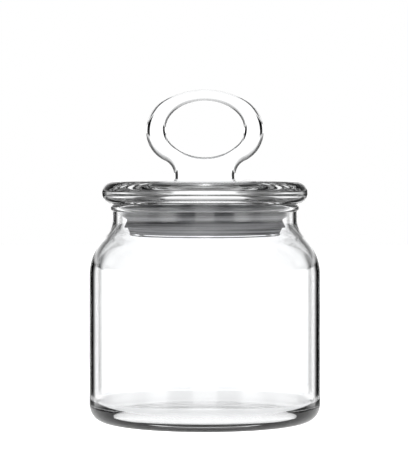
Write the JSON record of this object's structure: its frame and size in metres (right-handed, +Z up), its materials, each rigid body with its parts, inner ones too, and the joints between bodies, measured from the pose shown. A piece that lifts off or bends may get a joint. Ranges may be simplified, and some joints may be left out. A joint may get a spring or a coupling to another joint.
{
  "type": "glass storage jar",
  "caption": "Squat round glass storage jar with a rounded shoulder and a glass stopper lid that has a bullnose edge, a finned soft seal ring and an upright ring handle.",
  "frame": {"origin": "centre of the jar's resting plane", "axes": "+Z up along the jar's axis, +X along the width of the ring handle, Y through the handle's finger hole"},
  "size_m": [0.104, 0.104, 0.1492],
  "materials": {
    "jar_glass": "clear polished soda-lime glass",
    "lid_glass": "clear polished soda-lime glass",
    "seal": "soft milky grey translucent plastic, satin"
  },
  "bodies": {
    "root": {"jar": "jar_glass", "lid": "lid_glass", "seal_ring": "seal"}
  },
  "joints": []
}
